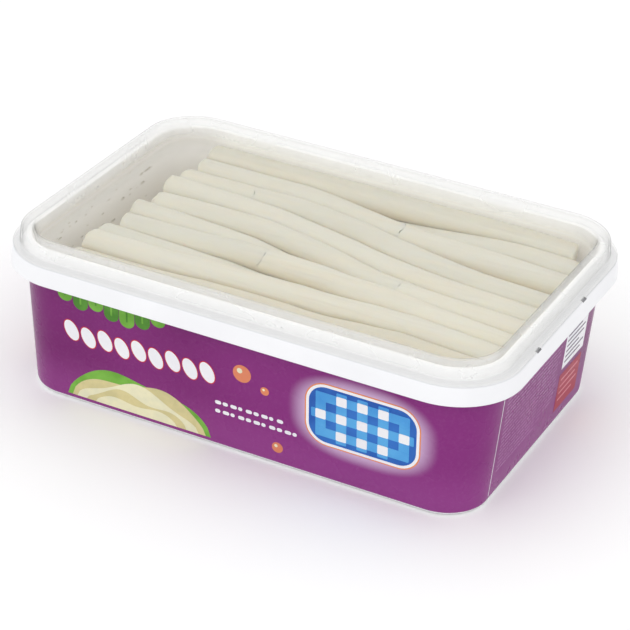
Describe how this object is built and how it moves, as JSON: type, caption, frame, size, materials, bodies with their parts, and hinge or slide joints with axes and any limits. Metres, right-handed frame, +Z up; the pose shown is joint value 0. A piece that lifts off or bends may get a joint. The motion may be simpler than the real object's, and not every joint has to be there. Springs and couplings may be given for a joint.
{
  "type": "tub of string cheese sticks",
  "caption": "Shut rectangular plastic tub with a clear press-fit lid, packed with straight sticks of white string cheese lying lengthwise.",
  "frame": {"origin": "middle of the tub's flat base, at the height of the surface it stands on", "axes": "+X along the tub's long side, towards the end with the opening tab; +Y across the tub; +Z up"},
  "size_m": [0.2, 0.1354, 0.0644],
  "materials": {
    "tub_white": "smooth white moulded plastic with a printed purple label moulded into its wall",
    "lid_clear": "clear glossy thin plastic",
    "cheese": "moist ivory cheese with fine lengthwise fibres"
  },
  "bodies": {
    "root": {"tub": "tub_white", "lid": "lid_clear", "stick_bundle": "cheese", "stick_a": "cheese", "stick_b": "cheese", "stick_c_left": "cheese", "stick_c_right": "cheese", "stick_d": "cheese", "stick_e_left": "cheese", "stick_e_right": "cheese", "stick_f": "cheese", "stick_g_left": "cheese", "stick_g_right": "cheese", "stick_h": "cheese", "stick_i_left": "cheese", "stick_i_right": "cheese", "stick_j": "cheese", "stick_k": "cheese", "stick_l": "cheese", "stick_m": "cheese"}
  },
  "joints": []
}
